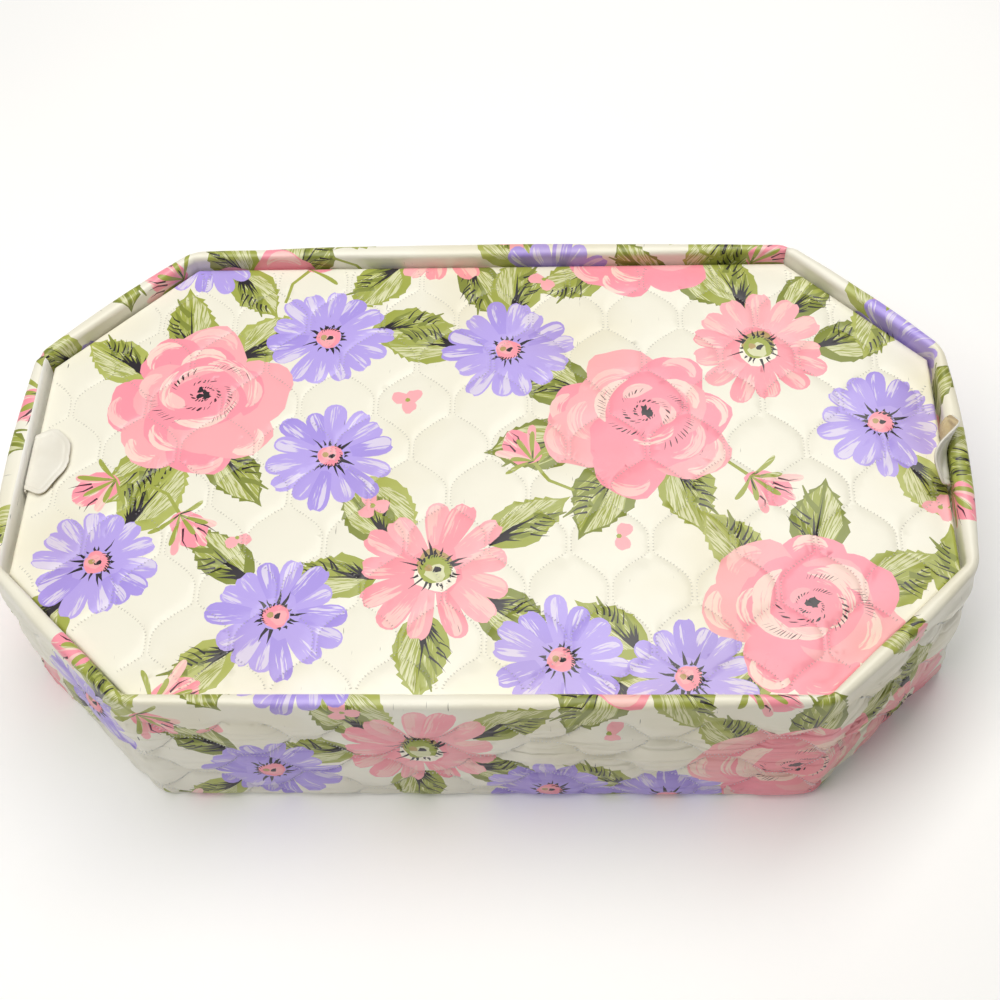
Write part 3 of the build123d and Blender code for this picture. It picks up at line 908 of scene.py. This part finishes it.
# Wall covers

wallCover = {
    "turnUnder": 14.0,
    "bottomRadius": 2.6,
    "foot": 0.8,  # the wall sheet's turned edge lies over the base sheet
    "taper": 0.8,  # the wadding thins towards the foot
    "rimStart": 74.0,  # the quilting dies out here and the padded rim begins
    "rimRadius": 2.6,
    "rimFace": 82.0,
    "insideLeg": 18.0,
    "cornerRound": 5.0,
    "footRound": 4.5,
    "puff": 2.1,
    "groove": 0.15,  # shallow: seen from above, a deep one would hide its own press marks
    "sink": 0.15,  # the share of its puff that the whole sheet lies deeper
    "creaseHeight": 0.8,
    "creaseRun": (48, 6.5),
    "creasePatch": (70, 40),  # they come and go over this length and height
    "boardDepth": 0.9,  # the sheet may sink this far before it would meet the card
    "rimWave": 0.35,
    "rimWaveRun": (26, 9),
    "seamPinch": 0.6,
    "spacing": 3.1,
    "skin": 0.8,
    "bow": (3.0, 1.6, 1.8, 1.6, 3.2, 1.6, 2.6, 1.6),  # by side, from the left end
    # the wall marks are pushed towards white, a painted highlight for marks in the walls' shade
    "marks": {"highlightWhite": 0.6, "greyed": 0.0, "sizes": {"Spacing": 0.0016, "Along": 0.00042,
              "Across": 0.0012, "Height": 0.0006, "Variation": 0.35, "Seed": 5}},
}


def buildWallProfile():  # (inset, height) from under the base, up the wall, over the rim and down inside
    wall, radius = boxSizes["wallInset"], wallCover["bottomRadius"]
    rim, top = wallCover["rimRadius"], boxSizes["height"] - wallCover["rimRadius"]
    foot, low = wallCover["foot"], wall + wallCover["taper"]
    line = [(low + radius + wallCover["turnUnder"], foot), (low + radius, foot)]
    line += [(low + radius - radius * math.sin(a), foot + radius - radius * math.cos(a)) for a in
             (0.3, 0.6, 0.9, 1.2, math.pi / 2)]
    start, face = wallCover["rimStart"], wallCover["rimFace"]
    taper = wallCover["taper"]
    line += [(wall + taper * (1 - ease(q)), foot + radius + q * 40) for q in (0.25, 0.5, 0.75, 1.0)]
    line += [(wall * (1 - ease(k / 8)), start + (face - start) * k / 8) for k in range(9)]
    for k in range(11):
        line.append((rim - rim * math.cos(k * math.pi / 10), top + rim * math.sin(k * math.pi / 10)))
    line.append((2 * rim, top - wallCover["insideLeg"]))
    return [Vector(p) for p in line]


wallLine = buildWallProfile()
wallRun = [0.0]
for before, after in zip(wallLine, wallLine[1:]):
    wallRun.append(wallRun[-1] + (after - before).length)
wallLength = wallRun[-1]
wallFoot = wallCover["turnUnder"] + wallCover["bottomRadius"] * (math.pi / 2 - 1)  # where the wall starts


def wallProfile(run):  # (inset, height) at a distance up the sheet, and the outward normal
    run = min(wallLength - 0.001, max(0.0, run))
    k = max(i for i in range(len(wallRun) - 1) if wallRun[i] <= run)

    def normalOf(i):
        i = min(len(wallLine) - 2, max(0, i))
        step = (wallLine[i + 1] - wallLine[i]).normalized()
        return Vector((step.y, step.x))
    q = (run - wallRun[k]) / (wallRun[k + 1] - wallRun[k])
    spot = wallLine[k].lerp(wallLine[k + 1], q)
    here = normalOf(k)
    if (wallLine[k + 1] - wallLine[k]).length < 3:
        here = (normalOf(k - 1) + here).lerp(here + normalOf(k + 1), q)
    return spot, here.normalized()


wallPlans = {}


def planAt(inset):
    key = round(inset, 2)
    if key not in wallPlans:
        wallPlans[key] = octagonPoints(key)
    return wallPlans[key]


wallStarts = [0.0]  # how far round the box each corner is
wallPlan = planAt(boxSizes["wallInset"])
for k in range(8):
    wallStarts.append(wallStarts[-1] + (wallPlan[(k + 1) % 8] - wallPlan[k]).length)


def roundBox(inset, s):  # the place, the outward direction and the bow at a distance round the box
    s %= wallStarts[8]
    k = max(i for i in range(8) if wallStarts[i] <= s)
    plan = planAt(inset)
    a, b = plan[k], plan[(k + 1) % 8]
    q = (s - wallStarts[k]) / (wallStarts[k + 1] - wallStarts[k])
    along = (b - a).normalized()
    bow = wallCover["bow"][k] * max(0.0, math.sin(math.pi * q)) ** 1.2
    return a + (b - a) * q, Vector((along.y, -along.x)), bow


def makeWallCover(name, first, last, printShift, quiltShift, seed):
    look = wallCover
    begin, total = wallStarts[first], wallStarts[last + 1] - wallStarts[first]
    rim, perimeter = look["rimRadius"], wallStarts[8]

    def unevenness(run, s, v, seed):
        return noise.noise(Vector((s / look[run][0], v / look[run][1], seed)))

    def place(s, v):
        spot, facing = wallProfile(v)
        up, seam = spot.y, min(s, total - s)
        reach = look["cornerRound"] + (look["footRound"] - look["cornerRound"]) * ease(1 - up / 45)
        reach *= 1 - 0.7 * ease(spot.x / (2 * rim) - 0.1)
        near = min(abs((begin + s - start + perimeter / 2) % perimeter - perimeter / 2)
                   for start in wallStarts[:8])
        offsets = (-1, -0.6, -0.2, 0.2, 0.6, 1) if near < reach * 1.2 else (0,)
        centre, out, bow = Vector((0, 0)), Vector((0, 0)), 0.0
        for k in offsets:
            p, n, b = roundBox(spot.x, begin + s + k * reach)
            centre += p / len(offsets)
            out += n
            bow += b / len(offsets)
        out.normalize()
        onFace = ease((v - wallFoot) / 6) * (1 - ease((up - look["rimStart"] + 2) / 9))
        if v > wallRun[-2] - 8:
            onFace = 0.0
        roll = 1.0
        if v >= wallFoot + 80:
            roll = 0.5 + 0.5 * math.cos(math.pi * min(1, spot.x / (2 * rim)))
        swell = bow * ease((up - 2) / 70) * roll
        lift = 0.0
        if onFace > 0:
            lift = puffed(v - quiltShift[1], s - quiltShift[0], look["puff"], look["groove"])
            lift -= look["sink"] * look["puff"]
            crease = abs(unevenness("creaseRun", s, v, seed))
            where = ease(0.5 + 2.2 * unevenness("creasePatch", s, v, seed + 5))
            lift += look["creaseHeight"] * where * (max(0.0, 1 - 5 * crease) - 0.3)
            lift = onFace * max(lift * ease(seam / 5), -look["boardDepth"] + 1.3 * ease(1 - near / 8))
        rimWave = look["rimWave"] * unevenness("rimWaveRun", s, v, seed + 9)
        rimWave *= ease((up - 70) / 8) * ease(seam / 5)
        pinch = -look["seamPinch"] * math.exp(-(seam / 2.2) ** 2) * ease((up - 60) / 20) * roll
        normal = Vector((out.x * facing.x, out.y * facing.x, facing.y))
        base = Vector((centre.x + out.x * swell, centre.y + out.y * swell, up))
        return base + normal * (lift + rimWave + pinch), normal

    region = [Vector(p) for p in ((0, 0), (total, 0), (total, wallLength), (0, wallLength))]
    quilted = (wallFoot + 3, wallFoot + look["rimStart"] - 1)

    def onWall(point):
        x, y = point.x + quiltShift[0], point.y + quiltShift[1]
        return 1.5 < x < total - 1.5 and quilted[0] < y < quilted[1]
    shift = Vector(quiltShift)
    middles, shoulders = weldRows((-quiltShift[0], quilted[0] - 20 - quiltShift[1]),
                                  (total - quiltShift[0], quilted[1] + 20 - quiltShift[1]), onWall, swap=True)
    welds = [[p + shift for p in row] for row in middles + shoulders]
    ridges = [ruled(Vector((0, run)), Vector((total, run))) for run in wallRun[1:-1]]
    for start in wallStarts[first:last + 2]:
        for k in (-1, -0.5, 0, 0.5, 1):
            s = start - begin + k * look["cornerRound"]
            if 0 < s < total:
                ridges.append(ruled(Vector((s, 0)), Vector((s, wallLength))))
    parts = printOver((0, 0), (total, wallLength), printShift)
    if first == 0:  # the print gives way to a near-white strip on the inside face of the left end
        edge = wallRun[-5]
        parts.append(patch([(0.2, edge), (wallStarts[1] - 0.2, edge), (wallStarts[1] - 0.2, wallLength),
                            (0.2, wallLength)], (0, 0), 0.0, "leftStripWhite"))
    piece, lines = sheetMesh(name, region, parts, welds + ridges, look["spacing"], place, swap=True)
    piece.data.materials.append(wallVinyl)
    addThickness(piece, look["skin"], knitBacking)
    return piece, pressMarks(name.replace("cover", "weld_marks"), lines[:len(middles)], look["marks"])


frontCover, frontMarks = makeWallCover("front_wall_cover", 0, 5, (342.0, 118.0), (10.0, 24.0), 2.0)
backCover, backMarks = makeWallCover("back_wall_cover", 6, 7, (180.0, 120.0), (3.0, 24.0), 7.0)
print("wall covers made")

# Lifting tabs

tabLook = {
    "rootHalf": 14.2, "wideHalf": 18.3, "wideAt": 8.0, "tipHalf": 6.5, "length": 17.2, "cornerRadius": 4.0,
    "border": 2.4, "borderWidth": 0.55, "borderDepth": 0.42, "thick": 0.8,
    "spacing": 0.6, "grid": (40.0, 19.0),
    "leftFold": Vector((-196.7, 1.2, 84.2)), "rightFold": Vector((197.1, 0.0, 84.2)),
}


def tabOutline(lean=0.0):  # across, along; rounded by cutting each corner with a curve
    t = tabLook
    corners = [(-t["rootHalf"], -0.5), (-t["wideHalf"], t["wideAt"]), (-t["tipHalf"] + lean, t["length"]),
               (t["tipHalf"] + lean, t["length"] - 0.6), (t["wideHalf"], t["wideAt"]), (t["rootHalf"], -0.5)]
    corners = [Vector(c) for c in corners]
    line = [corners[0]]
    for k in range(1, len(corners) - 1):
        a, b, c = corners[k - 1], corners[k], corners[k + 1]
        start = b + (a - b).normalized() * t["cornerRadius"]
        end = b + (c - b).normalized() * t["cornerRadius"]
        for q in [i / 6 for i in range(7)]:
            line.append(start.lerp(b, q).lerp(b.lerp(end, q), q))
    return (line + [corners[-1]])[::-1]


def edgeDistance(line, spot):  # from a point to the cut edge of the tab, not its root
    nearest = 99.0
    for a, b in zip(line, line[1:]):
        step = b - a
        q = min(1.0, max(0.0, (spot - a).dot(step) / step.length_squared))
        nearest = min(nearest, (a + step * q - spot).length)
    return nearest


def makeTab(name, lean, place):
    look = tabLook
    line = tabOutline(lean)
    points = list(line)
    centre = Vector((lean / 2, look["wideAt"]))
    border, width = look["border"], look["borderWidth"]
    for inset in (border - width, border, border + width, 0.5):
        points += [p + (centre - p).normalized() * inset * 1.15 for p in line[1:-1]]
    (wide, deep), step = look["grid"], look["spacing"]
    for i in range(int(wide / step)):
        for j in range(int(deep / step)):
            points.append(Vector((-wide / 2 + (i + 0.5 * (j % 2)) * step, -0.5 + j * step)))
    verts, _, tris, _, _, origFaces = delaunay_2d_cdt(points, [], [list(range(len(line)))], 0, 0.05, True)
    used = {}
    kept = [[used.setdefault(v, len(used)) for v in tri] for tri, ids in zip(tris, origFaces) if ids]
    laid = []
    for v in used:
        d = edgeDistance(line, verts[v])
        press = look["borderDepth"] * math.exp(-((d - border) / width) ** 2)
        press += 0.25 * math.exp(-(d / 0.5) ** 2)  # the cut edge is thinner still
        laid.append(place(verts[v].x, verts[v].y, -press) * mm)
    root, across, along, up = place(0, 9, 0), place(1, 9, 0), place(0, 10, 0), place(0, 9, 1)
    if (across - root).cross(along - root).dot(up - root) < 0:
        kept = [tri[::-1] for tri in kept]
    mesh = bpy.data.meshes.new(name)
    mesh.from_pydata(laid, [], kept)
    mesh.shade_smooth()
    mesh.materials.append(whiteVinyl)
    piece = addObject(name, mesh)
    # the backing's tan is painted shade on the right tab's inner face
    addThickness(piece, look["thick"], shadeTanBacking)
    return piece


def placeLeftTab(across, along, lift):  # lies on the lid, its free end a little curled up
    curl = 0.9 * ease(along / 17) + 0.5 * noise.noise(Vector((across / 11, along / 9, 1.0)))
    return tabLook["leftFold"] + Vector((along, across, 0.1 + ease(along / 2.5) * (0.35 + curl) + lift))


def placeRightTab(across, along, lift):  # stands up; its back half leans over the rim, its front half inwards
    lean = math.radians(-32 + 54 * ease((across + 12) / 24)) * min(1.0, max(0.0, (along - 1) / 6))
    stood = Vector((along * math.sin(lean), across, along * math.cos(lean * 0.9)))
    return tabLook["rightFold"] + stood + Vector((math.cos(lean), 0.0, -math.sin(lean))) * lift


leftTab = makeTab("left_tab_vinyl", 3.4, placeLeftTab)
rightTab = makeTab("right_tab_vinyl", 0.0, placeRightTab)
print("tabs made")

# Finishes for the card body's own pieces

finishFor = {
    "base_board": greyBoard, "wall_board": greyBoard, "corner_board": greyBoard, "ledge_board": greyBoard,
    "lid_board": greyBoard, "corner_tapes": kraftTape, "base_cover": liningVinyl, "base_lining": liningVinyl,
    "wall_lining": liningVinyl, "lid_lining": liningVinyl, "left_tab_root": whiteVinyl,
    "right_tab_root": whiteVinyl,
}
for name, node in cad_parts.items():
    for prefix, finish in finishFor.items():
        if name.startswith(prefix):
            for slot in node.material_slots:
                slot.material = finish

pieces = {
    lidTop: ("lid", "vinyl", ("lid_cover", "lid_wadding")),
    lidMarks: ("lid", "vinyl", ()),
    frontCover: ("box", "vinyl", ("wall_cover_front", "wall_wadding_front", "rim_padding_front")),
    frontMarks: ("box", "vinyl", ()),
    backCover: ("box", "vinyl", ("wall_cover_back", "wall_wadding_back", "rim_padding_back")),
    backMarks: ("box", "vinyl", ()),
    leftTab: ("left_tab", "white_vinyl", ("left_pull_tab",)),
    rightTab: ("right_tab", "white_vinyl", ("right_pull_tab",)),
}
for piece, (body, finish, nodes) in pieces.items():
    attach(piece, body)
    if nodes:
        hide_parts(*nodes)
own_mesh(rightTab)  # its own copy of the mesh

# Floor, light and camera

studio = {
    "floorPale": "#FFFFFF",
    "floorDeep": "#FAFAFA",
    "floorSize": 12.0,
    "glowFrom": (0.5, 3.0),  # metres from the box; the floor glows more the further it is
    "glow": (0.08, 0.6),
    "skyStrength": 0.12,
    "lampColour": "#FFFDF8",
    "lampPower": 22.8,
    "lampSize": (2.2, 0.7),
    "lampPlace": (-0.1, 0.13, 1.35),
    "lampAim": (-0.05, 0.09, 0.0),
    "lensOver1000": 1629.2,
    "azimuth": 0.0816,
    "elevation": 0.9765,
    "roll": -0.073,
    "distance": 789.9,
    "target": (3.68, 36.44, 0.0),
}


def makeFloor():
    # matt painted board, so pale that it is nearly lost in the light; its glow, faint near the box and
    # stronger further out, is painted light that whitens the far floor and lights the box from low down
    made, tree, place = newMaterial("studio_floor")
    away = addNode(tree, "ShaderNodeVectorMath", {"operation": "LENGTH", 0: place})["Value"]
    cloud = addNoise(tree, place, 3.0)[0]
    tint = addRamp(tree, cloud, (0.3, studio["floorDeep"]), (0.7, studio["floorPale"]))
    # painted light: the floor glows, more the further it is from the box
    glow = addRange(tree, away, *studio["glowFrom"], *studio["glow"])
    finishMaterial(tree, {"Roughness": 0.9, "Specular IOR Level": 0.1, "Emission Color": (1.0, 1.0, 1.0, 1.0),
                   "Emission Strength": glow, "Base Color": tint})
    half = studio["floorSize"] / 2
    mesh = bpy.data.meshes.new("floor")
    corners = [(x * half, y * half, 0) for x, y in ((-1, -1), (1, -1), (1, 1), (-1, 1))]
    mesh.from_pydata(corners, [], [range(4)])
    mesh.materials.append(made)
    addObject("floor", mesh)


def makeLight():
    lamp = bpy.data.lights.new("overhead", "AREA")
    lamp.shape = "RECTANGLE"
    lamp.size, lamp.size_y = studio["lampSize"]
    lamp.energy = studio["lampPower"]
    lamp.color = linear(studio["lampColour"])[:3]
    holder = addObject("overhead", lamp)
    holder.location = studio["lampPlace"]
    holder.rotation_euler = (Vector(studio["lampAim"]) - holder.location).to_track_quat("-Z", "Y").to_euler()
    world = bpy.data.worlds.new("studio")
    world.use_nodes = True
    back = world.node_tree.nodes["Background"]
    back.inputs["Color"].default_value = (1.0, 1.0, 1.0, 1.0)
    back.inputs["Strength"].default_value = studio["skyStrength"]
    bpy.context.scene.world = world
    bpy.context.scene.view_settings.view_transform = "Standard"


def makeCamera():
    az, el = studio["azimuth"], studio["elevation"]
    back = Vector((math.sin(az) * math.cos(el), -math.cos(az) * math.cos(el), math.sin(el)))
    right = Vector((math.cos(az), math.sin(az), 0))
    up = back.cross(right)
    c, s = math.cos(studio["roll"]), math.sin(studio["roll"])
    right, up = c * right + s * up, c * up - s * right
    place = (Vector(studio["target"]) + back * studio["distance"]) * mm
    lens = bpy.data.cameras.new("photo")
    lens.sensor_width = 36.0
    lens.lens = studio["lensOver1000"] / 1000 * 36
    camera = addObject("photo", lens)
    camera.matrix_world = Matrix((
        (right.x, up.x, back.x, place.x), (right.y, up.y, back.y, place.y),
        (right.z, up.z, back.z, place.z), (0, 0, 0, 1),
    ))
    bpy.context.scene.camera = camera


makeFloor()
makeLight()
makeCamera()
print("studio made")

bpy.context.view_layer.update()
